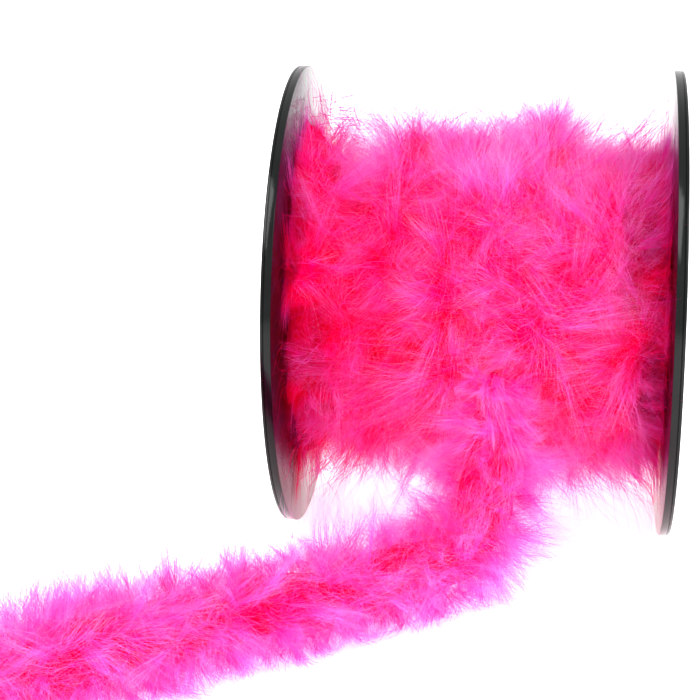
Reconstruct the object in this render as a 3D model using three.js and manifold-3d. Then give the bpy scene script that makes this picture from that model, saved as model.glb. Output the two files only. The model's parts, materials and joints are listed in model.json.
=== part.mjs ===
// A marabou feather boa wound on a two-flange reel, with its free end lying on the table.
// Millimetres, +Z up. X is the reel's axis, -Y is the side where the boa comes off, z = 0 is the table.

import * as THREE from 'three';
import { mergeVertices } from 'three/addons/utils/BufferGeometryUtils.js';
import Module from 'manifold-3d';

const wasm = await Module();
wasm.setup();

// ---- Driving dimensions -------------------------------------------------------------------------

// Reel
const reelWidth = 165;
const flangeRadius = 100;
const rimThickness = 4.4;
const rimDepth = 4.5;
const webThickness = 2.2;
const edgeRadius = 0.4;
const partingGroove = { fromOuterFace: 1.1, width: 0.4, depth: 0.3 };
const boreRadius = 11;
const hubRadius = 17;
const ribCount = 8;
const ribThickness = 2;
const spigotLength = 14;
const spigotWall = 2.7;
const coreRadius = 30;
const coreWall = 3;

// Winding: three full layers of turns and a part layer over their right-hand side
const layerTops = [44, 57, 70];
const turnsPerLayer = 9;
const turnValley = 3;
const topTurnCount = 5;
const topTurnPitch = 17.6;
const topTurnStart = -20;
const topTurnHeight = 9.6;

// Free boa
const plumageRadius = 23;
const plumageBore = 2.8;
const cordRadius = 1.5;
const cordEndLength = 12;
const knotRadius = 4;
const bendGap = 2;

// Fits
const gap = 0.3;
const tapeThickness = 0.4;

// Facets
const flangeSides = 72;
const windingSides = 36;
const plumageSides = 12;
const cordSides = 8;

// ---- Derived sizes ------------------------------------------------------------------------------

const axisHeight = flangeRadius * Math.cos(Math.PI / flangeSides);
const innerFace = reelWidth / 2 - rimThickness;
const spigotRadius = coreRadius - coreWall - gap;
const restHeight = plumageRadius * Math.cos(Math.PI / plumageSides);

// Centre line of the free boa, from the front of the winding down to the table and away to the left
const route = new THREE.CatmullRomCurve3([
  [9, -86, 90],
  [9, -88, 70],
  [8, -92, 50],
  [4, -100, 34],
  [-4, -111, 25],
  [-16, -124, restHeight],
  [-31, -137, restHeight],
  [-47, -150, restHeight],
  [-63, -163, restHeight],
  [-79, -176, restHeight],
  [-95, -189, restHeight],
  [-112, -203, restHeight],
  [-129, -218, restHeight],
  [-147, -234, restHeight],
  [-165, -249, restHeight],
  [-184, -262, restHeight],
  [-206, -272, restHeight],
  [-230, -279, restHeight],
  [-255, -283, restHeight],
].map((point) => new THREE.Vector3(...point)), false, 'centripetal');
const routeLength = route.getLength();
const bends = [112, 202, 292];
const plumageEnd = routeLength - cordEndLength;

// ---- Materials ----------------------------------------------------------------------------------

const finish = (color, roughness) => new THREE.MeshStandardMaterial({ color, roughness, metalness: 0 });
const blackPlastic = finish(0x161818, 0.2);
const greyBoard = finish(0xb39a76, 0.9);
const paperTape = finish(0xe8e2d0, 0.8);
const pinkDown = finish(0xff2a9a, 0.95);
const pinkCord = finish(0xd9187f, 0.85);

// ---- Solid helpers ------------------------------------------------------------------------------

function toManifold(geometry) {
  const bare = geometry.clone();
  bare.deleteAttribute('normal');
  bare.deleteAttribute('uv');
  const merged = mergeVertices(bare, 1e-4);
  return new wasm.Manifold(new wasm.Mesh({
    numProp: 3,
    vertProperties: new Float32Array(merged.attributes.position.array),
    triVerts: new Uint32Array(merged.index.array),
  }));
}

function toGeometry(manifold) {
  const mesh = manifold.getMesh();
  const geometry = new THREE.BufferGeometry();
  geometry.setAttribute('position', new THREE.BufferAttribute(mesh.vertProperties, 3));
  geometry.setIndex(new THREE.BufferAttribute(mesh.triVerts, 1));
  geometry.computeVertexNormals();
  return geometry;
}

// A ring turned about Y from [radius, height] points that run anticlockwise, with a flat facet at -Z
function turned(outline, sides) {
  const points = [...outline, outline[0]].map(([radius, height]) => new THREE.Vector2(radius, height));
  return new THREE.LatheGeometry(points, sides, Math.PI / sides);
}

// The same ring with its axis laid along X
function turnedAboutX(outline, sides) {
  return turned(outline, sides).rotateZ(-Math.PI / 2);
}

// ---- Reel ---------------------------------------------------------------------------------------

// Flange of the right-hand end: its inner face is at x = 0 and its spigot points to -X
function flangeGeometry() {
  const outer = rimThickness;
  const rim = flangeRadius;
  const grooveTop = outer - partingGroove.fromOuterFace;
  const disc = toManifold(turnedAboutX([
    [boreRadius, 0],
    [spigotRadius - spigotWall, 0],
    [spigotRadius - spigotWall, -spigotLength],
    [spigotRadius, -spigotLength],
    [spigotRadius, 0],
    [rim - edgeRadius, 0],
    [rim, edgeRadius],
    [rim, grooveTop - partingGroove.width],
    [rim - partingGroove.depth, grooveTop - partingGroove.width / 2],
    [rim, grooveTop],
    [rim, outer - edgeRadius],
    [rim - edgeRadius, outer],
    [rim - rimDepth, outer],
    [rim - rimDepth, webThickness],
    [hubRadius, webThickness],
    [hubRadius, outer],
    [boreRadius, outer],
  ], flangeSides));
  const ribHeight = outer - webThickness;
  const ribInner = hubRadius - 1;
  const ribOuter = rim - rimDepth + 1;
  let flange = disc;
  for (let i = 0; i < ribCount; i += 1) {
    const rib = new THREE.BoxGeometry(ribHeight, ribThickness, ribOuter - ribInner);
    rib.translate(webThickness + ribHeight / 2 - gap, 0, (ribInner + ribOuter) / 2);
    rib.rotateX((i + 0.5) * 2 * Math.PI / ribCount);
    flange = flange.add(toManifold(rib));
  }
  return toGeometry(flange);
}

function coreTubeGeometry() {
  const end = innerFace - gap;
  return turnedAboutX([
    [coreRadius - coreWall, -end],
    [coreRadius, -end],
    [coreRadius, end],
    [coreRadius - coreWall, end],
  ], windingSides);
}

// A strip of tape over the boa's inner end, wrapped a sixth of the way round the core tube
function startTapeGeometry() {
  const inner = coreRadius + gap;
  const outer = inner + tapeThickness;
  const halfAngle = Math.PI / 6;
  const width = 24;
  const section = new THREE.Shape();
  section.absarc(0, 0, outer, -halfAngle, halfAngle, false);
  section.absarc(0, 0, inner, halfAngle, -halfAngle, true);
  const strip = new THREE.ExtrudeGeometry(section, { depth: width, bevelEnabled: false, curveSegments: 4 });
  return strip.rotateY(-Math.PI / 2).translate(-innerFace + width + 4, 0, 0);
}

// ---- Winding ------------------------------------------------------------------------------------

// One full layer of the winding. A ridged layer shows a rounded crest for each turn.
function layerGeometry(inner, top, ridged) {
  const end = innerFace - gap;
  const stepsPerTurn = 3;
  const steps = ridged ? turnsPerLayer * stepsPerTurn : 1;
  const outline = [[inner, -end]];
  for (let i = 0; i <= steps; i += 1) {
    const crest = ridged ? Math.abs(Math.sin(Math.PI * i / stepsPerTurn)) : 1;
    outline.push([top - turnValley * (1 - crest), -end + 2 * end * i / steps]);
  }
  outline.push([inner, end]);
  return turnedAboutX(outline, windingSides);
}

// One separate turn of the part layer, round-backed, lying on the layer below
function topTurnGeometry(centre) {
  const inner = layerTops[layerTops.length - 1] + gap;
  const half = (topTurnPitch - gap) / 2;
  const steps = 4;
  const outline = [[inner, centre - half]];
  for (let i = 0; i <= steps; i += 1) {
    const angle = Math.PI * (i + 0.5) / (steps + 1);
    outline.push([inner + topTurnHeight * Math.sin(angle), centre - half * Math.cos(angle)]);
  }
  outline.push([inner, centre + half]);
  return turnedAboutX(outline, windingSides);
}

// ---- Free boa -----------------------------------------------------------------------------------

// Level direction that is square to the boa's way across the table and to its drop from the reel
const crosswise = new THREE.Vector3(0.6, -0.8, 0);

// Moves a geometry that stands along Y, with Y counted as distance along the route, onto the route
function layAlongRoute(geometry) {
  const position = geometry.attributes.position;
  for (let i = 0; i < position.count; i += 1) {
    const along = THREE.MathUtils.clamp(position.getY(i) / routeLength, 0, 1);
    const tangent = route.getTangentAt(along);
    const side = crosswise.clone().addScaledVector(tangent, -crosswise.dot(tangent)).normalize();
    const third = side.clone().cross(tangent);
    const point = route.getPointAt(along)
      .addScaledVector(side, position.getX(i))
      .addScaledVector(third, position.getZ(i));
    position.setXYZ(i, point.x, point.y, point.z);
  }
  return geometry;
}

// Plumage of one stretch of the free boa: a soft sleeve round the cord with a blunt, rounded end at
// each bend. The tapered lead starts thin, where the boa is still pressed against the winding.
function plumageGeometry(from, to, tapered) {
  const domeSteps = 4;
  const bodyStep = 14;
  const taperLength = 46;
  const taperStart = 6;
  const radiusAt = (distance) => (tapered
    ? THREE.MathUtils.lerp(taperStart, plumageRadius, Math.min((distance - from) / taperLength, 1))
    : plumageRadius);
  const first = tapered ? from : from + plumageRadius;
  const last = to - plumageRadius;
  const outline = [];
  for (let i = 0; i < domeSteps && !tapered; i += 1) {
    const angle = (Math.PI / 2) * (i + 0.6) / (domeSteps + 0.6);
    outline.push([plumageRadius * Math.sin(angle), first - plumageRadius * Math.cos(angle)]);
  }
  const bodySteps = Math.round((last - first) / bodyStep);
  for (let i = 0; i <= bodySteps; i += 1) {
    const distance = first + (last - first) * i / bodySteps;
    outline.push([radiusAt(distance), distance]);
  }
  for (let i = domeSteps - 1; i >= 0; i -= 1) {
    const angle = (Math.PI / 2) * (i + 0.6) / (domeSteps + 0.6);
    outline.push([plumageRadius * Math.sin(angle), last + plumageRadius * Math.cos(angle)]);
  }
  const start = outline[0][1];
  const end = outline[outline.length - 1][1];
  const boreSteps = Math.round((end - start) / bodyStep);
  for (let i = boreSteps; i >= 0; i -= 1) {
    outline.push([plumageBore, start + (end - start) * i / boreSteps]);
  }
  return layAlongRoute(turned(outline, plumageSides));
}

class RouteSpan extends THREE.Curve {
  constructor(from, to) {
    super();
    this.from = from;
    this.to = to;
  }

  getPoint(t, target = new THREE.Vector3()) {
    return route.getPointAt((this.from + (this.to - this.from) * t) / routeLength, target);
  }
}

// Core cord of one stretch of the free boa
function cordGeometry(from, to) {
  const stepLength = 7;
  const section = new THREE.Shape();
  section.absarc(0, 0, cordRadius, 0, 2 * Math.PI, false);
  return new THREE.ExtrudeGeometry(section, {
    steps: Math.round((to - from) / stepLength),
    curveSegments: cordSides / 2,
    extrudePath: new RouteSpan(from, to),
    bevelEnabled: false,
  });
}

// ---- Assembly -----------------------------------------------------------------------------------

const boaOnReel = new THREE.Group();

function addPiece(parent, name, geometry, material) {
  const mesh = new THREE.Mesh(geometry, material);
  mesh.name = name;
  parent.add(mesh);
  return mesh;
}

const reel = new THREE.Group();
reel.position.z = axisHeight;
boaOnReel.add(reel);

const flange = flangeGeometry();
addPiece(reel, 'right_flange', flange, blackPlastic).position.x = innerFace;
const leftFlange = addPiece(reel, 'left_flange', flange, blackPlastic);
leftFlange.position.x = -innerFace;
leftFlange.rotation.z = Math.PI;
addPiece(reel, 'core_tube', coreTubeGeometry(), greyBoard);
addPiece(reel, 'start_tape', startTapeGeometry(), paperTape);

let layerBottom = coreRadius + gap + tapeThickness + gap;
layerTops.forEach((top, i) => {
  const ridged = i === layerTops.length - 1;
  addPiece(reel, `wound_layer_${i + 1}`, layerGeometry(layerBottom, top, ridged), pinkDown);
  layerBottom = top + gap;
});
for (let i = 0; i < topTurnCount; i += 1) {
  const centre = topTurnStart + topTurnPitch * (i + 0.5);
  addPiece(reel, `top_turn_${i + 1}`, topTurnGeometry(centre), pinkDown);
}

const stretches = [
  { name: 'lead', from: 0, to: bends[0], tapered: true },
  { name: 'tail_near', from: bends[0], to: bends[1], tapered: false },
  { name: 'tail_middle', from: bends[1], to: bends[2], tapered: false },
  { name: 'tail_far', from: bends[2], to: plumageEnd, tapered: false },
];
stretches.forEach(({ name, from, to, tapered }, i) => {
  const isLast = i === stretches.length - 1;
  const sleeveFrom = tapered ? from : from + bendGap / 2;
  const sleeveTo = to - bendGap / 2;
  addPiece(boaOnReel, `${name}_plumage`, plumageGeometry(sleeveFrom, sleeveTo, tapered), pinkDown);
  const cordFrom = tapered ? from : from + bendGap / 4;
  const cordTo = isLast ? routeLength - knotRadius - gap : to - bendGap / 4;
  addPiece(boaOnReel, `${name}_cord`, cordGeometry(cordFrom, cordTo), pinkCord);
});

const knot = addPiece(boaOnReel, 'end_knot', new THREE.SphereGeometry(knotRadius, 12, 8), pinkCord);
knot.position.copy(route.getPointAt(1));

export default boaOnReel;
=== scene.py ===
"""A marabou feather boa on its reel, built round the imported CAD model.

The boa is modelled as the real one is: a twisted core cord with small down plumes all round it, each
plume a quill with fine barbs. On the reel the same plumes stand out of the turns of the winding.
"""

import json
import math

import bpy
import numpy as np
from mathutils import Euler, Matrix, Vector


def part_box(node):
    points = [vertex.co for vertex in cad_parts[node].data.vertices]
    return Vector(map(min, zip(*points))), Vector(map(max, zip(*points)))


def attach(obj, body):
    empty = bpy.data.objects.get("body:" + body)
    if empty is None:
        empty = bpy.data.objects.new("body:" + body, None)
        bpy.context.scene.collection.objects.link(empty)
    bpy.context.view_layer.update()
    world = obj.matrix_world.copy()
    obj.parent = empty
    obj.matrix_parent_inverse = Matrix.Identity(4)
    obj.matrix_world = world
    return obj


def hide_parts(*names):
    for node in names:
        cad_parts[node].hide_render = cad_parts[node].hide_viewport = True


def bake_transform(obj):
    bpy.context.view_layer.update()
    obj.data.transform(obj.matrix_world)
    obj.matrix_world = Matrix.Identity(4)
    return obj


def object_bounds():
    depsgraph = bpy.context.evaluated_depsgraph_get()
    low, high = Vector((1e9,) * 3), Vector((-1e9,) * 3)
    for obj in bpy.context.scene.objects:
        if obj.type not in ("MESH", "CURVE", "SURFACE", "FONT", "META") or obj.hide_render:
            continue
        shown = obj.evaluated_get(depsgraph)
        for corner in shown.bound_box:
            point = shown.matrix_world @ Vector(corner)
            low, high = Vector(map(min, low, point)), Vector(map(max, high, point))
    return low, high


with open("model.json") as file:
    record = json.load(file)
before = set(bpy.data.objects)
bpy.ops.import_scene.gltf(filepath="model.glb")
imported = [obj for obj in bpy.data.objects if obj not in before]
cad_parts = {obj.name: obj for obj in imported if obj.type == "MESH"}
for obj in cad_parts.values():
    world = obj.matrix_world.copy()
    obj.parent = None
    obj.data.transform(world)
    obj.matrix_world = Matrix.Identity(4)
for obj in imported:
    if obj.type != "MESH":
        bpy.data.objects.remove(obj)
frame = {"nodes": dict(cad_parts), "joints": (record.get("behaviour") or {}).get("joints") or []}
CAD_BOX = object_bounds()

MM = 0.001

# ---- Sizes, in metres, from the frame --------------------------------------------------------------

AXIS_Z = next(j["pos_m"][2] for j in frame["joints"] if j["name"] == "reel_turn")
FLANGE_RIM = 4.4 * MM
INNER_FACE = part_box("right_flange")[1].x - FLANGE_RIM
CORE_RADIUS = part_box("core_tube")[1].y
FRONT_LIMIT = CAD_BOX[0][1] - 18 * MM  # no barb reaches farther forward
TURNS_PER_LAYER = 9
TOP_TURNS = [f"top_turn_{i + 1}" for i in range(5)]

# Centre line of the free boa, from the front of the winding down to the table and away to the left
TAIL_HEIGHT = 0.022216
DROP = [
    (0.009, -0.086, 0.090),
    (0.009, -0.088, 0.070),
    (0.008, -0.092, 0.050),
    (0.004, -0.100, 0.034),
    (-0.004, -0.111, 0.025),
]
RUN = [
    (-0.016, -0.124), (-0.031, -0.137), (-0.047, -0.150), (-0.063, -0.163), (-0.079, -0.176),
    (-0.095, -0.189), (-0.112, -0.203), (-0.129, -0.218), (-0.147, -0.234), (-0.165, -0.249),
    (-0.184, -0.262), (-0.206, -0.272), (-0.230, -0.279), (-0.255, -0.283),
]
ROUTE = DROP + [(x, y, TAIL_HEIGHT) for x, y in RUN]

# Distances along the free boa where it bends
BEND_STATIONS = [0.112, 0.202, 0.292]
CORD_DIAMETER = 3 * MM
CORD_END = 12 * MM
TAIL_BODIES = ["boa_lead", "tail_near", "tail_middle", "tail_far"]
STRETCHES = ["lead", "tail_near", "tail_middle", "tail_far"]


# ---- Camera ----------------------------------------------------------------------------------------

CAMERA_PLACE = (0.0417, -0.8095, 0.2887)
CAMERA_DIP = 14.7  # degrees below level
CAMERA_TURN = 7.1  # degrees to the left


def add_camera():
    """The camera of the photograph, as fitted to the two rims."""
    camera = bpy.data.cameras.new("camera")
    camera.sensor_width = 36
    camera.lens = 97.4
    camera.clip_end = 20
    holder = bpy.data.objects.new("camera", camera)
    holder.location = CAMERA_PLACE
    holder.rotation_euler = Euler((math.radians(90 - CAMERA_DIP), 0, math.radians(CAMERA_TURN)))
    bpy.context.scene.collection.objects.link(holder)
    bpy.context.scene.camera = holder


# ---- Lines and frames ------------------------------------------------------------------------------

def unit(vectors):
    return vectors / np.maximum(np.linalg.norm(vectors, axis=-1, keepdims=True), 1e-12)


def smooth_line(points, per_span=30):
    """Centripetal Catmull-Rom line through the points, as closely spaced points."""
    points = np.array(points)
    points = np.vstack([2 * points[0] - points[1], points, 2 * points[-1] - points[-2]])
    t = np.linspace(0, 1, per_span, endpoint=False)[:, None]
    line = []
    for a, b, c, d in zip(points, points[1:], points[2:], points[3:]):
        ab, bc, cd = (math.sqrt(np.linalg.norm(v)) for v in (b - a, c - b, d - c))
        leaving = ((b - a) / ab - (c - a) / (ab + bc) + (c - b) / bc) * bc
        arriving = ((c - b) / bc - (d - b) / (bc + cd) + (d - c) / cd) * bc
        line.append(
            b * (2 * t**3 - 3 * t**2 + 1) + leaving * (t**3 - 2 * t**2 + t)
            + c * (3 * t**2 - 2 * t**3) + arriving * (t**3 - t**2)
        )
    return np.vstack(line + [points[-2:-1]])


class Line:
    """A line of points with its length, and its place and directions at any distance along it."""

    CROSSWISE = np.array([0.6, -0.8, 0])

    def __init__(self, points):
        self.points = points
        steps = np.linalg.norm(np.diff(points, axis=0), axis=1)
        self.stations = np.concatenate([[0], np.cumsum(steps)])
        self.length = self.stations[-1]
        self.tangents = unit(np.gradient(points, self.stations, axis=0))

    def at(self, distance):
        """Place, direction along, and two directions across, for each distance."""
        place = self._mix(self.points, distance)
        along = unit(self._mix(self.tangents, distance))
        side = self.CROSSWISE - along * (along @ self.CROSSWISE)[..., None]
        side = unit(side)
        return place, along, side, np.cross(along, side)

    def _mix(self, values, distance):
        return np.stack([np.interp(distance, self.stations, values[:, i]) for i in range(3)], -1)


class Swells:
    """A smooth random field over space, about -1 to 1, with swells of about the given size."""

    def __init__(self, rng, size, waves=20):
        direction = unit(rng.normal(size=(waves, 3)))
        self.rate = direction * (2 * math.pi / size) * rng.uniform(0.7, 1.4, (waves, 1))
        self.phase = rng.uniform(0, 2 * math.pi, waves)

    def __call__(self, place):
        return np.sin(place @ self.rate.T + self.phase).sum(-1) * math.sqrt(2 / len(self.phase))


class Flow:
    """A smooth random way for the down to lie: how much it leans in each of two directions."""

    def __init__(self, rng, size, strength):
        self.turn = Swells(rng, size)
        self.force = Swells(rng, size)
        self.strength = strength

    def __call__(self, place, first, second):
        angle = 2.6 * self.turn(place)
        force = self.strength * (1 + 0.35 * self.force(place))
        return first * (force * np.cos(angle))[:, None] + second * (force * np.sin(angle))[:, None]


# ---- Meshes ----------------------------------------------------------------------------------------

def add_mesh(name, vertices, loops, starts, material, colours=None):
    """A mesh object from flat arrays: vertices, the faces' corners, and where each face starts."""
    mesh = bpy.data.meshes.new(name)
    mesh.vertices.add(len(vertices))
    mesh.vertices.foreach_set("co", vertices.astype(np.float32).ravel())
    mesh.loops.add(len(loops))
    mesh.loops.foreach_set("vertex_index", loops.astype(np.int32))
    mesh.polygons.add(len(starts))
    mesh.polygons.foreach_set("loop_start", starts.astype(np.int32))
    mesh.update(calc_edges=True)
    if colours is not None:
        attribute = mesh.attributes.new("down", "FLOAT_COLOR", "POINT")
        attribute.data.foreach_set("color", colours.astype(np.float32).ravel())
    mesh.polygons.foreach_set("use_smooth", np.ones(len(starts), bool))
    mesh.materials.append(material)
    piece = bpy.data.objects.new(name, mesh)
    bpy.context.scene.collection.objects.link(piece)
    return piece


def add_grid(name, rows, material, colours=None):
    """A closed tube from rings of points, one ring a row, with a cap at each end."""
    count, around = rows.shape[:2]
    ring = np.arange(around)
    following = np.roll(ring, -1)
    first = np.arange(count - 1)[:, None] * around
    after = first + around
    quads = np.stack([first + ring, first + following, after + following, after + ring], -1)
    loops = np.concatenate([quads.ravel(), ring[::-1], (count - 1) * around + ring])
    starts = np.concatenate([np.arange(quads.size // 4) * 4, quads.size + np.array([0, around])])
    return add_mesh(name, rows.reshape(-1, 3), loops, starts, material, colours)


def add_ring_grid(name, rows, material):
    """A closed ring from rings of points, the last joined to the first."""
    count, around = rows.shape[:2]
    ring = np.arange(around)
    following = np.roll(ring, -1)
    first = np.arange(count)[:, None] * around
    after = np.roll(first, -1, axis=0)
    quads = np.stack([first + ring, after + ring, after + following, first + following], -1)
    starts = np.arange(quads.size // 4) * 4
    return add_mesh(name, rows.reshape(-1, 3), quads.ravel(), starts, material)


# ---- Down ------------------------------------------------------------------------------------------

BARB_STEPS = 4
BARB_CORNERS = 2 * BARB_STEPS + 1
BARB_WIDTH = 0.135 * MM
LONGEST_BARB = 27 * MM
FURTHEST_TIP = 34 * MM

# How much a barb waves to the sides as a share of its length, how unevenly it faces outwards, and how
# much narrower it is at the tip
WAVINESS = 0.11
TWIST = 0.35
TAPER = 0.76

# A plume's barbs fan out widely, in degrees, at its foot and closely at its top
FOOT_FAN = 66
TOP_FAN = 18
FAN_SPREAD = 9
OUT_OF_PLANE = 0.28
MOST_LEAN = 1.4

# How much a quill strays at random from the way it should stand
AXIS_STRAY = 0.12

# Barbs of a plume in the lower and in the upper coat, and the share of plumes in the upper coat
LOWER_BARBS = 24
UPPER_BARBS = 55
UPPER_SHARE = 0.3

# How much the tint differs from plume to plume and from barb to barb, and how unevenly barbs curl
PLUME_TINT_SPREAD = 0.17
BARB_TINT_SPREAD = 0.03
CURL_SPREAD = 0.42

# How loose barbs differ: paler, curlier and thinner
LOOSE_PALING = 0.15
LOOSE_CURL_SPREAD = 0.9
LOOSE_THINNING = 0.9


class Barbs:
    """Fine barbs gathered as arrays: root, direction, curl, facing, length, width and tint of each.
    A barb is a tapered ribbon that lies broadside to its facing."""

    def __init__(self):
        self.parts = []

    def add(self, *arrays):
        self.parts.append([np.asarray(a, float) for a in arrays])

    def mesh(self, name, rng, material, tame, shelter):
        """One piece of all the barbs, held back where tame says, and coloured for shelter."""
        joined = [np.concatenate(arrays) for arrays in zip(*self.parts)]
        root, direction, curl, facing, length, width, tint = joined
        count = len(root)
        t = np.linspace(0, 1, BARB_STEPS + 1)[None, :, None]
        spine = tame(barb_spines(rng, t, root, direction, curl, length), rng)
        facing = facing + rng.normal(0, TWIST, (count, 3))
        across = unit(np.cross(direction + curl / 2, facing))[:, None]
        half = width[:, None, None] * (1 - TAPER * t[:, :-1]) / 2
        body = spine[:, :-1]
        pairs = np.stack([body - across * half, body + across * half], 2).reshape(count, -1, 3)
        vertices = np.concatenate([pairs, spine[:, -1:]], 1)
        colours = np.ones((count, BARB_CORNERS, 4))
        colours[..., 0] = np.repeat(t[0, :, 0], 2)[:BARB_CORNERS]
        colours[..., 1] = tint[:, None]
        colours[..., 2] = np.repeat(shelter(spine), 2, axis=1)[:, :BARB_CORNERS]
        loops, starts = barb_faces(count)
        return add_mesh(
            name, vertices.reshape(-1, 3), loops, starts, material, colours.reshape(-1, 4)
        )


def barb_spines(rng, t, root, direction, curl, length):
    """The middle lines of barbs: each leaves its root, curls, waves and never strays too far."""
    count = len(root)
    run = direction[:, None] * t + curl[:, None] * t**2 / 2
    spine = root[:, None] + length[:, None, None] * run
    wave = np.sin(t * rng.uniform(3, 8, (count, 1, 1))) * t
    wave_size = WAVINESS * length[:, None, None]
    spine += unit(rng.normal(size=(count, 1, 3))) * wave * wave_size
    strayed = np.linalg.norm(spine - root[:, None], axis=-1).max(1)
    kept = np.minimum(1, FURTHEST_TIP / np.maximum(strayed, 1e-9))[:, None, None]
    return root[:, None] + (spine - root[:, None]) * kept


def barb_faces(count):
    """Corners and starts of the faces of barbs: squares along each, and a triangle at its tip."""
    squares = [[2 * i, 2 * i + 1, 2 * i + 3, 2 * i + 2] for i in range(BARB_STEPS - 1)]
    tip = [BARB_CORNERS - 3, BARB_CORNERS - 2, BARB_CORNERS - 1]
    corners = np.array(sum(squares, []) + tip)
    barb = np.arange(count)[:, None]
    loops = (barb * BARB_CORNERS + corners).ravel()
    starts = (barb * len(corners) + np.arange(BARB_STEPS) * 4).ravel()
    return loops, starts


def add_plumes(barbs, rng, base, axis, flat, lean, reach, count, tint, share_closed, share_loose):
    """Adds plumes to barbs. Each stands on its base along its axis and leans over towards lean. Its
    barbs fan out to both sides of the quill in the plane of axis and flat, and close up to a wisp.
    A few loose barbs leave the wisp and curl away on their own."""
    shape = (len(base), count)
    lean = lean * np.minimum(1, MOST_LEAN / np.linalg.norm(lean, axis=1, keepdims=True))
    tint = tint + rng.normal(0, PLUME_TINT_SPREAD, len(base))
    loose = rng.random(shape) < share_loose
    up = rng.random(shape) ** 0.8
    up = np.where(loose, 0.5 + 0.5 * up, up)
    way = unit(axis[:, None] + lean[:, None] * up[..., None])
    root = base[:, None] + (0.5 * reach[:, None] * up)[..., None] * unit(axis[:, None] + way)
    direction = fan_out(rng, axis, flat, way, up)
    length = reach[:, None] * (0.5 + 0.3 * rng.random(shape)) * (1.05 - 0.3 * up)
    curl = 0.8 * way - 0.6 * direction + 0.6 * lean[:, None]
    curl = curl + rng.normal(0, CURL_SPREAD, shape + (3,))
    wisp = base + reach[:, None] * (0.95 * axis + 0.55 * lean)
    pull = 2 * ((wisp[:, None] - root) / length[..., None] - direction)
    curl = close_up(rng, curl, pull, share_closed, loose)
    stray = rng.normal(0, LOOSE_CURL_SPREAD, shape + (3,))
    curl = np.where(loose[..., None], curl + stray, curl)
    length = np.where(loose, reach[:, None] * rng.uniform(0.6, 1.25, shape), length)
    length = np.minimum(length, LONGEST_BARB)
    width = BARB_WIDTH * rng.uniform(0.6, 1.2, shape) * np.where(loose, LOOSE_THINNING, 1)
    tints = tint[:, None] + rng.normal(0, BARB_TINT_SPREAD, shape) + np.where(loose, LOOSE_PALING, 0)
    tints = np.clip(tints, 0, 1)
    facing = np.broadcast_to(axis[:, None], direction.shape)
    barbs.add(
        root.reshape(-1, 3), direction.reshape(-1, 3), curl.reshape(-1, 3), facing.reshape(-1, 3),
        length.ravel(), width.ravel(), tints.ravel(),
    )


def fan_out(rng, axis, flat, way, up):
    """Directions of barbs that leave a quill to both sides, closer to its way the higher they are."""
    fan = FOOT_FAN - (FOOT_FAN - TOP_FAN) * up + rng.normal(0, FAN_SPREAD, up.shape)
    fan = np.radians(fan) * rng.choice([-1, 1], up.shape)
    out = np.cross(axis, flat)[:, None]
    direction = way * np.cos(fan)[..., None] + flat[:, None] * np.sin(fan)[..., None]
    return unit(direction + out * rng.normal(0, OUT_OF_PLANE, up.shape)[..., None])


def close_up(rng, curl, pull, share_closed, loose):
    """Curls mixed with the pull of the wisp, more in some plumes than in others. Loose barbs keep
    their own."""
    plumes = len(loose)
    closed = share_closed * rng.uniform(0.1, 1.0, (plumes, 1)) * rng.uniform(0.5, 1.3, loose.shape)
    closed = np.where(loose, 0, closed)[..., None]
    return curl * (1 - closed) + pull * closed


def add_two_coats(barbs, rng, base, axis, flat, lean, reach, tint):
    """The full lower coat of plumes, and a sparser upper coat of longer, paler, wispier ones."""
    upper = rng.random(len(base)) < UPPER_SHARE
    lower = ~upper
    add_plumes(barbs, rng, base[lower], axis[lower], flat[lower], 0.6 * lean[lower],
               0.88 * reach[lower], LOWER_BARBS, tint[lower] - 0.2, 0.45, 0.03)
    tall = unit(axis[upper] + 0.45 * lean[upper])
    add_plumes(barbs, rng, base[upper], tall, flat[upper], 1.3 * lean[upper],
               1.18 * reach[upper], UPPER_BARBS, tint[upper] + 0.22, 0.85, 0.07)


def add_flyaways(barbs, rng, root, direction, curl, length, tint):
    """Adds single long, thin, curved barbs."""
    count = len(root)
    direction = unit(direction + rng.normal(0, 0.14, (count, 3)))
    curl = curl + rng.normal(0, 0.35, (count, 3))
    width = BARB_WIDTH * rng.uniform(1.2, 1.9, count)
    barbs.add(root, direction, curl, rng.normal(size=(count, 3)), length, width, np.full(count, tint))


# ---- Materials -------------------------------------------------------------------------------------

def new_material(name):
    material = bpy.data.materials.new(name)
    material.use_nodes = True
    tree = material.node_tree
    shader = tree.nodes["Principled BSDF"]
    return material, tree, shader


def add_node(tree, kind, **values):
    node = tree.nodes.new(kind)
    for name, value in values.items():
        if name in node.inputs:
            node.inputs[name].default_value = value
        else:
            setattr(node, name, value)
    return node


def add_ramp(tree, source, stops):
    ramp = add_node(tree, "ShaderNodeValToRGB")
    elements = ramp.color_ramp.elements
    while len(elements) < len(stops):
        elements.new(0.5)
    for element, (position, colour) in zip(elements, stops):
        element.position = position
        element.color = (*colour, 1)
    tree.links.new(source, ramp.inputs[0])
    return ramp.outputs[0]


def add_math(tree, operation, first, second):
    node = add_node(tree, "ShaderNodeMath", operation=operation)
    for socket, value in zip(node.inputs, (first, second)):
        if isinstance(value, (int, float)):
            socket.default_value = value
        else:
            tree.links.new(value, socket)
    return node.outputs[0]


# How far along its ramp the down's colour lies: forward with the tint, forward towards the barb's
# tip, more so with the tint, and back with shelter, which paints shade into the down's colour
TINT_PALING = 0.42
TIP_PALING = 0.25
TINTED_TIP_PALING = 0.35
PAINTED_SHELTER_SHADE = 0.8
LIGHT_THROUGH = 0.5


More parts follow.
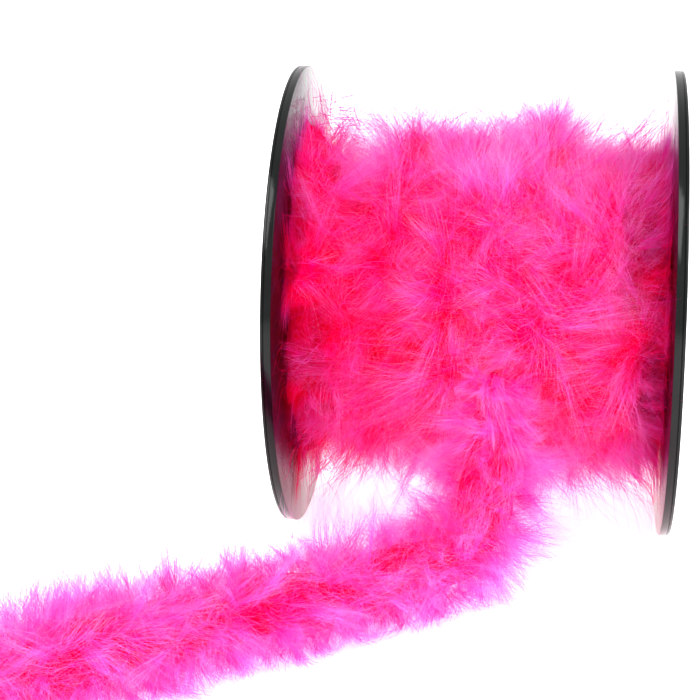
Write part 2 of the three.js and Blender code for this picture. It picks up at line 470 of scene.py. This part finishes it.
def down_material():
    """Dyed down: deep crimson-pink near the quill, hot pink along the barb, orchid at the tip. The
    thin barbs let light through, so they glow."""
    material, tree, shader = new_material("dyed_down")
    read = add_node(tree, "ShaderNodeAttribute", attribute_name="down")
    split = add_node(tree, "ShaderNodeSeparateColor")
    tree.links.new(read.outputs["Color"], split.inputs[0])
    along, tint, shelter = split.outputs
    paling = add_math(tree, "ADD", add_math(tree, "MULTIPLY", tint, TINTED_TIP_PALING), TIP_PALING)
    painted_shade = add_math(tree, "MULTIPLY", shelter, PAINTED_SHELTER_SHADE)
    base = add_math(tree, "SUBTRACT", add_math(tree, "MULTIPLY", tint, TINT_PALING), painted_shade)
    value = add_math(tree, "ADD", add_math(tree, "MULTIPLY", along, paling), base)
    colour = add_ramp(tree, value, [
        (0.0, (0.95, 0.0, 0.13)),
        (0.25, (0.96, 0.044, 0.50)),
        (0.6, (0.96, 0.27, 0.80)),
        (1.0, (0.95, 0.52, 0.80)),
    ])
    tree.links.new(colour, shader.inputs["Base Color"])
    shader.inputs["Roughness"].default_value = 0.6
    shader.inputs["Specular IOR Level"].default_value = 0
    glow = add_node(tree, "ShaderNodeBsdfTranslucent")
    tree.links.new(colour, glow.inputs["Color"])
    mix = add_node(tree, "ShaderNodeMixShader")
    mix.inputs[0].default_value = LIGHT_THROUGH
    tree.links.new(shader.outputs[0], mix.inputs[1])
    tree.links.new(glow.outputs[0], mix.inputs[2])
    tree.links.new(mix.outputs[0], tree.nodes["Material Output"].inputs["Surface"])
    return material


def under_down_material():
    """The packed down below the plumes: dark crimson with soft mottling."""
    material, tree, shader = new_material("packed_down")
    noise = add_node(tree, "ShaderNodeTexNoise", Scale=220.0, Detail=6.0, Roughness=0.65)
    coordinates = add_node(tree, "ShaderNodeTexCoord")
    tree.links.new(coordinates.outputs["Object"], noise.inputs["Vector"])
    colour = add_ramp(tree, noise.outputs["Fac"], [
        (0.3, (0.72, 0.0, 0.07)),
        (0.55, (0.94, 0.003, 0.16)),
        (0.75, (1.0, 0.012, 0.28)),
    ])
    tree.links.new(colour, shader.inputs["Base Color"])
    shader.inputs["Specular IOR Level"].default_value = 0
    shader.inputs["Roughness"].default_value = 0.85
    bump = add_node(tree, "ShaderNodeBump", Strength=0.8, Distance=0.002)
    tree.links.new(noise.outputs["Fac"], bump.inputs["Height"])
    tree.links.new(bump.outputs[0], shader.inputs["Normal"])
    return material


def cord_material():
    """Dyed twisted yarn."""
    material, tree, shader = new_material("dyed_yarn")
    coordinates = add_node(tree, "ShaderNodeTexCoord")
    noise = add_node(tree, "ShaderNodeTexNoise", Scale=1800.0, Detail=4.0)
    tree.links.new(coordinates.outputs["Object"], noise.inputs["Vector"])
    colour = add_ramp(tree, noise.outputs["Fac"], [
        (0.35, (0.4, 0.0, 0.06)),
        (0.7, (0.85, 0.01, 0.2)),
    ])
    tree.links.new(colour, shader.inputs["Base Color"])
    shader.inputs["Roughness"].default_value = 0.8
    shader.inputs["Specular IOR Level"].default_value = 0.1
    bump = add_node(tree, "ShaderNodeBump", Strength=0.6, Distance=0.0003)
    tree.links.new(noise.outputs["Fac"], bump.inputs["Height"])
    tree.links.new(bump.outputs[0], shader.inputs["Normal"])
    return material


def plastic_material():
    """Black glossy moulded plastic with fine scuffs and a faint flow texture."""
    material, tree, shader = new_material("black_plastic")
    coordinates = add_node(tree, "ShaderNodeTexCoord")
    cloud = add_node(tree, "ShaderNodeTexNoise", Scale=60.0, Detail=5.0)
    scratch = add_node(tree, "ShaderNodeTexNoise", Scale=900.0, Detail=3.0, Distortion=1.5)
    for noise in (cloud, scratch):
        tree.links.new(coordinates.outputs["Object"], noise.inputs["Vector"])
    colour = add_ramp(tree, cloud.outputs["Fac"], [
        (0.3, (0.004, 0.005, 0.005)),
        (0.8, (0.010, 0.012, 0.012)),
    ])
    tree.links.new(colour, shader.inputs["Base Color"])
    worn = add_ramp(tree, scratch.outputs["Fac"], [(0.5, (0.09,) * 3), (0.8, (0.26,) * 3)])
    tree.links.new(worn, shader.inputs["Roughness"])
    bump = add_node(tree, "ShaderNodeBump", Strength=0.12, Distance=0.0002)
    tree.links.new(scratch.outputs["Fac"], bump.inputs["Height"])
    tree.links.new(bump.outputs[0], shader.inputs["Normal"])
    shader.inputs["IOR"].default_value = 1.48
    return material


def board_material():
    """Grey-brown spiral-wound board."""
    material, tree, shader = new_material("wound_board")
    coordinates = add_node(tree, "ShaderNodeTexCoord")
    fibres = add_node(tree, "ShaderNodeTexNoise", Scale=400.0, Detail=6.0)
    seam = add_node(tree, "ShaderNodeTexWave", Scale=12.0, Distortion=1.0)
    tree.links.new(coordinates.outputs["Object"], fibres.inputs["Vector"])
    tree.links.new(coordinates.outputs["Object"], seam.inputs["Vector"])
    mixed = add_math(tree, "MULTIPLY", fibres.outputs["Fac"], seam.outputs["Fac"])
    colour = add_ramp(tree, mixed, [(0.05, (0.27, 0.20, 0.12)), (0.5, (0.46, 0.36, 0.24))])
    tree.links.new(colour, shader.inputs["Base Color"])
    shader.inputs["Roughness"].default_value = 0.9
    return material


def tape_material():
    """Cream paper tape."""
    material, tree, shader = new_material("paper_tape")
    coordinates = add_node(tree, "ShaderNodeTexCoord")
    crepe = add_node(tree, "ShaderNodeTexNoise", Scale=700.0, Detail=3.0)
    tree.links.new(coordinates.outputs["Object"], crepe.inputs["Vector"])
    colour = add_ramp(tree, crepe.outputs["Fac"], [
        (0.3, (0.66, 0.60, 0.46)),
        (0.7, (0.82, 0.77, 0.64)),
    ])
    tree.links.new(colour, shader.inputs["Base Color"])
    shader.inputs["Roughness"].default_value = 0.75
    return material


# ---- Core cord -------------------------------------------------------------------------------------

def twisted_cord(name, points, frames, material, length):
    """Two-ply cord along the points: an eight-shaped section that turns as it goes."""
    _, side, across = frames
    around = np.linspace(0, 2 * math.pi, 12, endpoint=False)
    lay_length = 9 * MM
    turn = 2 * math.pi * np.linspace(0, length, len(points))[:, None] / lay_length
    radius = CORD_DIAMETER / 2 * (0.72 + 0.28 * np.abs(np.cos(around[None] - turn)))
    rows = (
        points[:, None]
        + side[:, None] * (radius * np.cos(around))[..., None]
        + across[:, None] * (radius * np.sin(around))[..., None]
    )
    return add_grid(name, rows, material)


def add_free_cord(line, material):
    """The cord of each stretch of the free boa, split where the boa bends."""
    ends = [0, *BEND_STATIONS, line.length - 5 * MM]
    pieces = []
    for name, body, start, end in zip(STRETCHES, TAIL_BODIES, ends, ends[1:]):
        stations = np.linspace(start, end, int((end - start) / (1.2 * MM)))
        place, along, side, across = line.at(stations)
        piece = twisted_cord(f"{name}_yarn", place, (along, side, across), material, end - start)
        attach(piece, body)
        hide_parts(f"{name}_cord")
        pieces.append((piece, place, end - start))
    return pieces


def add_end_knot(line, material):
    """An overhand knot in the last of the cord."""
    place, along, side, across = line.at(np.array([line.length]))
    t = np.linspace(0, 2 * math.pi, 90, endpoint=False)
    loop = np.stack([
        (np.sin(t) + 2 * np.sin(2 * t)) * 0.9,
        (np.cos(t) - 2 * np.cos(2 * t)) * 0.9,
        -np.sin(3 * t) * 1.1,
    ], -1) * MM
    centre = place + loop[:, :1] * side + loop[:, 1:2] * across + loop[:, 2:] * along
    tangent = unit(np.roll(centre, -1, 0) - np.roll(centre, 1, 0))
    normal = unit(np.cross(tangent, unit(centre - place)))
    binormal = np.cross(tangent, normal)
    around = np.linspace(0, 2 * math.pi, 10, endpoint=False)
    rows = (
        centre[:, None]
        + 1.0 * MM * normal[:, None] * np.cos(around)[None, :, None]
        + 1.0 * MM * binormal[:, None] * np.sin(around)[None, :, None]
    )
    piece = add_ring_grid("overhand_knot", rows, material)
    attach(piece, "tail_far")
    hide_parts("end_knot")
    return piece


# ---- Free boa --------------------------------------------------------------------------------------

FLUFF_REACH = 20 * MM
QUILL_START = 7 * MM
FLUFF_SAG = 2.5 * MM
SAG_START = 90 * MM
PLUMES_PER_METRE = 8400
FLYAWAYS_PER_METRE = 1500
TAIL_TINT = 0.8
TAIL_STRAY = 0.5
TAIL_DROOP = 0.1

# Half of the stretch that turns at a bend
BEND_HALF = 18 * MM

# The plumes of the lead hang down along it, and are pressed flat against the winding
HANGING_LEAN = 0.5
HANGING_LENGTH = 45 * MM
PRESSED_LENGTH = 75 * MM

# The fluff is fullest on the outer side of the turn from the lead to the table
BULGE = 0.17
BULGE_WAY = unit(np.array([0.8, -0.5, -0.3]))
BULGE_STATION = 72 * MM
BULGE_LENGTH = 34 * MM


def above_table(spine, rng):
    """Barbs that would pass through the table lie along it instead, in a thin soft mat."""
    mat = rng.uniform(0.3, 3.0, (len(spine), 1)) * MM
    spine[..., 2] = np.maximum(spine[..., 2], mat)
    spine[..., 1] = np.maximum(spine[..., 1], FRONT_LIMIT)
    return spine


def table_shelter(spine):
    """How sheltered from light each point is by the table, from 0 to 1."""
    return 0.3 * np.clip(1 - spine[..., 2] / (12 * MM), 0, 1)


def fluff_scale(line, station):
    """How full the fluff is: thinner where it is pressed on the winding and towards the cut end, and
    fuller on the far half."""
    near_end = np.minimum(1, 0.5 + (line.length - CORD_END - station) / (30 * MM))
    near_reel = np.minimum(1, 0.6 + station / (90 * MM))
    fuller = 1 + 0.15 * np.clip((station - 170 * MM) / (60 * MM), 0, 1)
    return near_end * near_reel * fuller


def sag(station):
    """How far the fluff sinks below the cord, more and more until it lies on the table."""
    return FLUFF_SAG * np.minimum(1, station / SAG_START)


def tail_edges(line):
    """Where the plumage is cut along the free boa: on both sides of each bend."""
    edges = [0]
    for station in BEND_STATIONS:
        edges += [station - BEND_HALF, station + BEND_HALF]
    return edges + [line.length - CORD_END]


def add_tail_plumes(barbs, line, start, end, rng, fields):
    """Plumes all round one stretch of the free boa."""
    flow, lump, shade = fields
    count = int((end - start) * PLUMES_PER_METRE)
    station = rng.uniform(start, end, count)
    place, along, side, across = line.at(station)
    angle = rng.uniform(0, 2 * math.pi, count)[:, None]
    radial = side * np.cos(angle) + across * np.sin(angle)
    round_way = across * np.cos(angle) - side * np.sin(angle)
    scale = fluff_scale(line, station)
    probe = place + FLUFF_REACH * radial
    hanging = HANGING_LEAN * np.exp(-station / HANGING_LENGTH)
    lean = flow(probe, along, round_way) + rng.normal(0, TAIL_STRAY, (count, 3))
    lean += along * hanging[:, None]
    lean[:, 2] -= TAIL_DROOP
    twist = rng.uniform(0, 2 * math.pi, count)[:, None]
    axis = unit(radial + 0.35 * lean + rng.normal(0, AXIS_STRAY, (count, 3)))
    flat = unit(np.cross(axis, along * np.cos(twist) + round_way * np.sin(twist)))
    outer_side = np.maximum(0, radial @ BULGE_WAY)
    bulge = BULGE * outer_side * np.exp(-((station - BULGE_STATION) / BULGE_LENGTH) ** 2)
    uneven = 1 + 0.12 * lump(probe) + 0.1 * shade(probe) + rng.normal(0, 0.1, count)
    reach = FLUFF_REACH * uneven * (scale + bulge)
    # The shade field darkens the tint where it shortens the down: painted shade in the dips, over
    # tone that varies at random.
    tint = TAIL_TINT + 0.13 * shade(probe)
    pressed = np.exp(-(station / PRESSED_LENGTH) ** 2)[:, None]
    radial = radial + side * ((radial * side).sum(1, keepdims=True) * 0.5 * pressed)
    base = place + QUILL_START * (scale * rng.uniform(0.6, 1.2, count))[:, None] * radial
    base[:, 2] -= sag(station)
    add_two_coats(barbs, rng, base, axis, flat, lean, reach, tint)


def hang_tail_piece(piece, line, i, start, end):
    """Even stretches ride on one body; the short odd ones at the bends ride on no body and keep their
    place baked into their mesh.
    Returns the body that the piece rides on, if any."""
    body = (i + 1) // 2
    if i % 2:
        first, last = (tuple(place) for place in line.at(np.array([start, end]))[0])
        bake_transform(piece)
        return None
    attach(piece, TAIL_BODIES[body])
    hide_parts(f"{STRETCHES[body]}_plumage")
    return TAIL_BODIES[body]


def add_tail_plumage(line, rng, material, packed):
    """Plumage of the free boa, stretch by stretch, over its matted filling."""
    fields = Flow(rng, 0.03, 0.5), Swells(rng, 0.03), Swells(rng, 0.016)
    edges = tail_edges(line)
    pieces = []
    for i, (start, end) in enumerate(zip(edges, edges[1:])):
        barbs = Barbs()
        add_tail_plumes(barbs, line, start, end, rng, fields)
        add_tail_flyaways(barbs, rng, line, start, end)
        plumage = barbs.mesh(f"tail_down_{i + 1}", rng, material, above_table, table_shelter)
        filling = add_tail_filling(f"tail_filling_{i + 1}", line, start, end, fields[1], packed)
        for piece in (plumage, filling):
            pieces.append((piece, hang_tail_piece(piece, line, i, start, end)))
    return pieces


def add_tail_flyaways(barbs, rng, line, start, end):
    """Long loose barbs that stand out of the free boa's fluff and curl back."""
    count = int((end - start) * FLYAWAYS_PER_METRE)
    station = rng.uniform(start, end, count)
    place, along, side, across = line.at(station)
    angle = rng.uniform(0, 2 * math.pi, count)[:, None]
    radial = side * np.cos(angle) + across * np.sin(angle)
    on_table = (radial[:, 2] < 0) & (station > 100 * MM)
    radial[on_table, 2] *= 0.2
    radial = unit(radial)
    scale = fluff_scale(line, station)
    root = place + (scale * rng.uniform(11, 18, count) * MM)[:, None] * radial
    way = along * rng.normal(0, 0.7, (count, 1))
    curl = rng.normal(0, 0.9, (count, 3)) - 0.5 * radial
    add_flyaways(barbs, rng, root, radial + way, curl, scale * rng.uniform(12, 26, count) * MM, 0.6)


def add_tail_filling(name, line, start, end, lump, material):
    """The dense, matted down close to the cord, which the plumes stand in."""
    station = np.linspace(start, end, max(8, int((end - start) / (1.5 * MM))))
    place, along, side, across = line.at(station)
    angle = np.linspace(0, 2 * math.pi, 40, endpoint=False)
    radial = (
        side[:, None] * np.cos(angle)[None, :, None]
        + across[:, None] * np.sin(angle)[None, :, None]
    )
    probe = place[:, None] + 0.01 * radial
    ends = np.minimum(station / (25 * MM), (line.length - CORD_END - station) / (12 * MM))
    radius = 11 * MM * fluff_scale(line, station)[:, None] + 1.2 * MM * lump(probe)
    radius = np.maximum(radius * np.sqrt(np.clip(ends, 0, 1))[:, None], 1.6 * MM)
    rows = place[:, None] + radial * radius[..., None]
    rows[..., 2] -= sag(station)[:, None]
    return add_grid(name, rows, material)


# ---- Winding ---------------------------------------------------------------------------------------

PLUMES_PER_TURN = 790
EDGE_FLYAWAYS = 170
BRIDGING_BARBS = 90
WOUND_REACH = 24 * MM
WOUND_STRAY = 0.55

# How deep below the outer fluff the quills and the packed down begin
QUILL_DEPTH = 18.5 * MM
FILLING_DEPTH = 12 * MM

# How far the quills lie to either side of a turn's middle, how unevenly, and how far from a flange
TURN_BACK = 7 * MM
TURN_SCATTER = 2 * MM
PLUME_ROOM = 3 * MM

# Inside this radius the flanges stop the barbs
BARB_LIMIT_RADIUS = 101 * MM

# Along the reel: the part layer's left edge, the crevice beside it, and the first turn's right edge
PART_LAYER_EDGE = -19 * MM
CREVICE_WIDTH = 6 * MM
FIRST_TURN_EDGE = -60 * MM
# The full layer's tint is lower than the part layer's: partly painted shade below the raised turns,
# partly the deeper colour of its denser down.
FULL_LAYER_TINT = 0.47
PART_LAYER_TINT = 0.96

# The crevice is painted in shade, deeper in colour, and the down is shorter there and by a flange
CREVICE_PAINTED_SHADE = 0.4
CREVICE_SHORTENING = 0.25
FLANGE_SHORTENING = 0.3
FLANGE_SHORTENING_WIDTH = 8 * MM

# The painted light on the front, which makes the down paler: its middle along the reel and its angle
# below the front, and its spread each way
FRONT_PAINTED_LIGHT = 0.25
FRONT_MIDDLE = 18 * MM
FRONT_WIDTH = 38 * MM
FRONT_DIP = 0.35
FRONT_SPREAD = 0.9

# How much paler painted light from above makes the down at the top, on the first turn and on the
# others
FIRST_TOP_PAINTED_LIGHT = 0.4
TOP_PAINTED_LIGHT = 0.12

# Painted shade for shelter beside a flange, which fades with distance and towards the top, and for
# shelter in depth
FLANGE_SHELTER = 0.85
FLANGE_SHELTER_WIDTH = 5 * MM
SHELTER_TOP = 80 * MM
DEPTH_SHELTER = 0.4
FULL_DEPTH = 14 * MM

# Radius of the wound fluff from the left flange to the right one, in millimetres: its usual run, and
# its run at the top, where loose turns make the outline rise and dip
USUAL_RADIUS = [
    (-78, 74), (-60, 72), (-24, 70), (-14, 79), (28, 79), (42, 77), (58, 77), (66, 74), (72, 68),
    (78, 62),
]
TOP_RUN_RADIUS = [
    (-78, 89), (-68, 76), (-60, 50), (-50, 46), (-41, 70), (-31, 83), (-22, 69), (-10, 76), (0, 77),
    (7, 71), (16, 77), (25, 87), (34, 77), (43, 67), (54, 68), (62, 66), (78, 71),
]


def on_reel(x, radius, angle):
    """A place on the reel: along its axis, out from it, and round it from the front over the top."""
    return np.stack([x, -radius * np.cos(angle), AXIS_Z + radius * np.sin(angle)], -1)


def wound_radius(x, angle, lump):
    """Radius of the wound fluff at a place along and round the reel."""
    usual = np.interp(x / MM, *zip(*USUAL_RADIUS))
    top = np.interp(x / MM, *zip(*TOP_RUN_RADIUS))
    from_top = (angle - math.pi / 2) / math.radians(38)
    near_top = np.exp(-from_top**2)
    swell = 3.0 * lump(on_reel(x, 0.075, angle))
    return (usual + near_top * (top - usual) + (1 - near_top) * swell) * MM


def between_flanges(spine, rng):
    """Barbs that would pass through a flange are pressed against it instead."""
    limit = INNER_FACE - rng.uniform(0.2, 2.5, (len(spine), 1)) * MM
    inside = np.hypot(spine[..., 1], spine[..., 2] - AXIS_Z) < BARB_LIMIT_RADIUS
    spine[..., 0] = np.where(inside, np.clip(spine[..., 0], -limit, limit), spine[..., 0])
    return above_table(spine, rng)


def reel_shelter(lump):
    """A measure of how sheltered from light each point is, by a flange or deep in the winding."""

    def shelter(spine):
        x, forward, height = spine[..., 0], -spine[..., 1], spine[..., 2] - AXIS_Z
        from_flange = np.maximum(0, INNER_FACE - np.abs(x))
        by_flange = FLANGE_SHELTER * np.exp(-from_flange / FLANGE_SHELTER_WIDTH)
        by_flange *= 1 - np.clip(height / SHELTER_TOP, 0, 1) ** 4
        depth = wound_radius(x, np.arctan2(height, forward), lump) - np.hypot(forward, height)
        return np.maximum(by_flange, DEPTH_SHELTER * np.clip(depth / FULL_DEPTH, 0, 1))

    return shelter


def add_turn_plumes(barbs, rng, fields, x, tint):
    """Plumes of the visible, outer half of one turn of the wound boa."""
    flow, lump, shade = fields
    count = PLUMES_PER_TURN
    angle = rng.uniform(0, 2 * math.pi, count)
    outward = on_reel(np.zeros(count), 1, angle) - on_reel(np.zeros(count), 0, angle)
    along = np.stack([np.zeros(count), np.sin(angle), np.cos(angle)], -1)
    sideways = np.tile([1.0, 0, 0], (count, 1))
    tip = np.radians(rng.normal(0, 30, count)).clip(-1.3, 1.3)
    place_x = x + TURN_BACK * np.sin(tip) + rng.normal(0, TURN_SCATTER, count)
    place_x = np.clip(place_x, PLUME_ROOM - INNER_FACE, INNER_FACE - PLUME_ROOM)
    base = on_reel(place_x, wound_radius(place_x, angle, lump) - QUILL_DEPTH, angle)
    radial = outward * np.cos(tip)[:, None] + sideways * np.sin(tip)[:, None]
    probe = base + 0.015 * radial
    lean = flow(probe, along, sideways) + rng.normal(0, WOUND_STRAY, (count, 3))
    axis = unit(radial + 0.45 * lean + rng.normal(0, AXIS_STRAY, (count, 3)))
    twist = rng.uniform(0, 2 * math.pi, count)[:, None]
    flat = unit(np.cross(axis, along * np.cos(twist) + sideways * np.sin(twist)))
    crevice = np.exp(-((place_x - PART_LAYER_EDGE) / CREVICE_WIDTH) ** 2)
    uneven = 1 + 0.14 * lump(probe) + 0.14 * shade(probe) + rng.normal(0, 0.1, count)
    from_flange = INNER_FACE - np.abs(place_x)
    by_flange = FLANGE_SHORTENING * np.exp(-from_flange / FLANGE_SHORTENING_WIDTH)
    reach = WOUND_REACH * (uneven - CREVICE_SHORTENING * crevice - by_flange)
    # The tint holds painted shade where the shade field shortens the down and in the crevice, and
    # painted light in front and at the top, over tone that varies at random.
    tints = tint + 0.2 * shade(probe) + painted_light_places(place_x, angle) - CREVICE_PAINTED_SHADE * crevice
    add_two_coats(barbs, rng, base, axis, flat, lean, reach, tints)


def painted_light_places(x, angle):
    """How much paler the wound down is painted with light: in front, where the part layer bulges, and
    at the top.
    """
    from_front = np.angle(np.exp(1j * (angle + FRONT_DIP)))
    front = np.exp(-((x - FRONT_MIDDLE) / FRONT_WIDTH) ** 2 - (from_front / FRONT_SPREAD) ** 2)
    top_painted_light = np.where(x < FIRST_TURN_EDGE, FIRST_TOP_PAINTED_LIGHT, TOP_PAINTED_LIGHT)
    return FRONT_PAINTED_LIGHT * front + np.maximum(0, np.sin(angle)) ** 2 * top_painted_light


def add_turn(name, rng, material, fields, x, tint, nodes):
    """One turn of the wound boa that shows, at x along the reel."""
    barbs = Barbs()
    add_turn_plumes(barbs, rng, fields, x, tint)
    add_edge_flyaways(barbs, rng, x)
    if x < FIRST_TURN_EDGE:
        add_bridging_barbs(barbs, rng)
    piece = barbs.mesh(name, rng, material, between_flanges, reel_shelter(fields[1]))
    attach(piece, "reel")
    if nodes:
        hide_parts(*nodes)


def add_edge_flyaways(barbs, rng, x):
    """Long loose barbs of a turn, which by a flange reach out past its rim."""
    count = EDGE_FLYAWAYS
    angle = rng.uniform(0, 2 * math.pi, count)
    inner_turn = abs(x) < 40 * MM
    sign = rng.choice([-1, 1], count) if inner_turn else np.full(count, math.copysign(1, x))
    place_x = x + rng.uniform(-8, 8, count) * MM
    place_x = np.clip(place_x, 2 * MM - INNER_FACE, INNER_FACE - 2 * MM)
    root = on_reel(place_x, rng.uniform(70, 78, count) * MM, angle)
    outward = unit(root - on_reel(place_x, 0, angle))
    sideways = sign[:, None] * np.array([[1.0, 0, 0]])
    curl = 0.5 * sideways - 0.2 * outward + rng.normal(0, 0.6, (count, 3))
    length = rng.uniform(16, 32, count) * MM
    add_flyaways(barbs, rng, root, outward + 0.6 * sideways, curl, length, 0.55)


def add_bridging_barbs(barbs, rng):
    """Loose barbs at the top by the left flange. Most bridge over to the next turns."""
    count = BRIDGING_BARBS
    angle = math.pi / 2 + rng.normal(0, 0.2, count)
    place_x = rng.uniform(-77, -64, count) * MM
    root = on_reel(place_x, rng.uniform(70, 87, count) * MM, angle)
    outward = unit(root - on_reel(place_x, 0, angle))
    bridging = rng.random(count)[:, None] < 0.6
    across = np.where(bridging, [[1.0, 0, 0]], 0.25 * rng.normal(size=(count, 1)) * [[1.0, 0, 0]])
    rise = np.where(bridging, 0.2, 1.0)
    length = rng.uniform(20, 36, count) * MM * np.where(bridging[:, 0], 1.0, 0.6)
    curl = np.where(bridging, -0.45, 0.1) * outward
    add_flyaways(barbs, rng, root, across + rise * outward, curl, length, 0.6)


def add_packed_down(rng, material, lump):
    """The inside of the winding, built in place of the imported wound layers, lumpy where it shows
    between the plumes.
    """
    crease = Swells(rng, 0.016)
    x = np.linspace(-INNER_FACE, INNER_FACE, 120)
    angle = np.linspace(0, 2 * math.pi, 320, endpoint=False)
    grid_x, grid_angle = np.meshgrid(x, angle, indexing="ij")
    radius = wound_radius(grid_x, grid_angle, lump) - FILLING_DEPTH
    radius = radius + 1.4 * MM * crease(on_reel(grid_x, radius, grid_angle))
    outer = on_reel(grid_x, radius, grid_angle)
    inner = on_reel(grid_x[::-1], np.full_like(grid_x, CORE_RADIUS + 1 * MM), grid_angle)
    rows = np.concatenate([outer, inner])
    piece = add_ring_grid("packed_down", rows, material)
    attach(piece, "reel")
    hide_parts("wound_layer_1", "wound_layer_2", "wound_layer_3")
    return piece


def add_winding(rng, down, packed):
    """The wound boa: packed inside, the turns that show of the full layer, and the part layer."""
    fields = Flow(rng, 0.03, 0.7), Swells(rng, 0.028), Swells(rng, 0.016)
    add_packed_down(rng, packed, fields[1])
    pitch = 2 * INNER_FACE / TURNS_PER_LAYER
    for i in (0, 1, 2, 3, TURNS_PER_LAYER - 1):
        x = -INNER_FACE + pitch * (i + 0.5)
        add_turn(f"full_layer_down_{i + 1}", rng, down, fields, x, FULL_LAYER_TINT, ())
    for i, node in enumerate(TOP_TURNS):
        low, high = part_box(node)
        x = (low.x + high.x) / 2
        add_turn(f"top_turn_down_{i + 1}", rng, down, fields, x, PART_LAYER_TINT, (node,))


# ---- Reel ------------------------------------------------------------------------------------------

RIB_COUNT = 8
FLANGE_SIDES = 288

# Section of a flange in millimetres, from the bore outwards: radius, and distance out from the
# inner face
FLANGE_SECTION = [
    (11.4, 0), (24, 0), (24, -13.7), (24.3, -14), (26.4, -14), (26.7, -13.7), (26.7, 0), (99.5, 0),
    (99.85, 0.15), (100, 0.5), (100, 2.85), (99.7, 3.0), (99.7, 3.15), (100, 3.3), (100, 3.9),
    (99.85, 4.25), (99.5, 4.4), (96, 4.4), (95.6, 4.1), (95.5, 2.6), (95.1, 2.2), (17.5, 2.2),
    (17.1, 2.6), (17, 4.1), (16.7, 4.4), (11.4, 4.4), (11, 4.1), (11, 0.3),
]


def add_flange(name, side, material):
    """A moulded flange: web, raised rim with its parting line, hub, spigot, and ribs outside."""
    section = np.array(FLANGE_SECTION) * MM
    turn = np.linspace(0, 2 * math.pi, FLANGE_SIDES, endpoint=False)
    radius, out = section[:, 0], side * (INNER_FACE + section[:, 1])
    rows = np.stack([on_reel(out, radius, angle) for angle in turn])
    if side > 0:
        rows = rows[:, ::-1]
    flange = add_ring_grid(name, rows, material)
    ribs = [add_rib(side, 2 * math.pi * (i + 0.5) / RIB_COUNT, material) for i in range(RIB_COUNT)]
    parts = [flange, *ribs]
    with bpy.context.temp_override(active_object=flange, selected_editable_objects=parts):
        bpy.ops.object.join()
    flange.data.set_sharp_from_angle(angle=math.radians(40))
    return flange


def add_rib(side, angle, material):
    """A low radial rib from the hub to the rim, with a rounded back."""
    half, foot, crest = 1.0 * MM, 1.9 * MM, 4.1 * MM
    round_back = 0.5 * MM
    profile = [(-half, foot), (-half, crest - round_back), (-half + round_back, crest),
               (half - round_back, crest), (half, crest - round_back), (half, foot)]
    outward = on_reel(0, 1, angle) - on_reel(0, 0, angle)
    round_way = np.array([0, math.sin(angle), math.cos(angle)])
    rows = []
    for radius in (16 * MM, 96.5 * MM):
        middle = on_reel(0, radius, angle)
        rows.append([middle + round_way * w + [side * (INNER_FACE + h), 0, 0] for w, h in profile])
    rows = np.array(rows)
    if side < 0:
        rows = rows[::-1]
    return add_grid("rib", rows, material)


def dress_reel():
    """The moulded flanges, and the core tube and tape in their own materials."""
    plastic, board, tape = plastic_material(), board_material(), tape_material()
    for name, side in (("left_flange", -1), ("right_flange", 1)):
        flange = add_flange(f"moulded_{name}", side, plastic)
        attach(flange, "reel")
        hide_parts(name)
    for node, material in (("core_tube", board), ("start_tape", tape)):
        piece = frame["nodes"][node]
        piece.data.materials.clear()
        piece.data.materials.append(material)


# ---- Stage -----------------------------------------------------------------------------------------

DOWN_BOUNCES = 20
FLOOR_HALF = 6
FLOOR_GLOW = 0.6
ROOM_LIGHT = 0.86

# The lights: name, place, turn in degrees, size in metres and power in watts
LIGHTS = [
    ("key_light", (-0.5, -0.9, 1.3), (38, 0, -28), 0.9, 7),
    ("fill_light", (0.9, -0.7, 0.9), (55, 0, 50), 0.8, 4),
]


def add_stage():
    """A wide white floor under soft, even studio light, which many bounces carry into the down."""
    material, tree, shader = new_material("white_floor")
    shader.inputs["Base Color"].default_value = (0.92, 0.92, 0.92, 1)
    shader.inputs["Emission Color"].default_value = (1, 0.98, 0.97, 1)
    shader.inputs["Emission Strength"].default_value = FLOOR_GLOW
    shader.inputs["Roughness"].default_value = 0.7
    corners = FLOOR_HALF * np.array([[-1.0, -1, 0], [1, -1, 0], [1, 1, 0], [-1, 1, 0]])
    floor = add_mesh("floor", corners, np.arange(4), np.array([0]), material)

    world = bpy.data.worlds.new("studio")
    world.use_nodes = True
    world.node_tree.nodes["Background"].inputs["Color"].default_value = (1, 1, 1, 1)
    world.node_tree.nodes["Background"].inputs["Strength"].default_value = ROOM_LIGHT
    bpy.context.scene.world = world

    for name, place, turn, size, power in LIGHTS:
        light = bpy.data.lights.new(name, "AREA")
        light.size = size
        light.energy = power
        holder = bpy.data.objects.new(name, light)
        holder.location = place
        holder.rotation_euler = Euler([math.radians(a) for a in turn])
        bpy.context.scene.collection.objects.link(holder)

    bpy.context.scene.view_settings.view_transform = "Standard"
    bpy.context.scene.view_settings.look = "High Contrast"
    cycles = bpy.context.scene.cycles
    cycles.max_bounces = cycles.diffuse_bounces = cycles.transmission_bounces = DOWN_BOUNCES


# ---- Assembly --------------------------------------------------------------------------------------

add_camera()
rng = np.random.default_rng(20)
boa_line = Line(smooth_line(ROUTE))
yarn = cord_material()
cords = add_free_cord(boa_line, yarn)
knot = add_end_knot(boa_line, yarn)
down = down_material()
packed = under_down_material()
tail_pieces = add_tail_plumage(boa_line, rng, down, packed)
add_winding(rng, down, packed)
dress_reel()
add_stage()
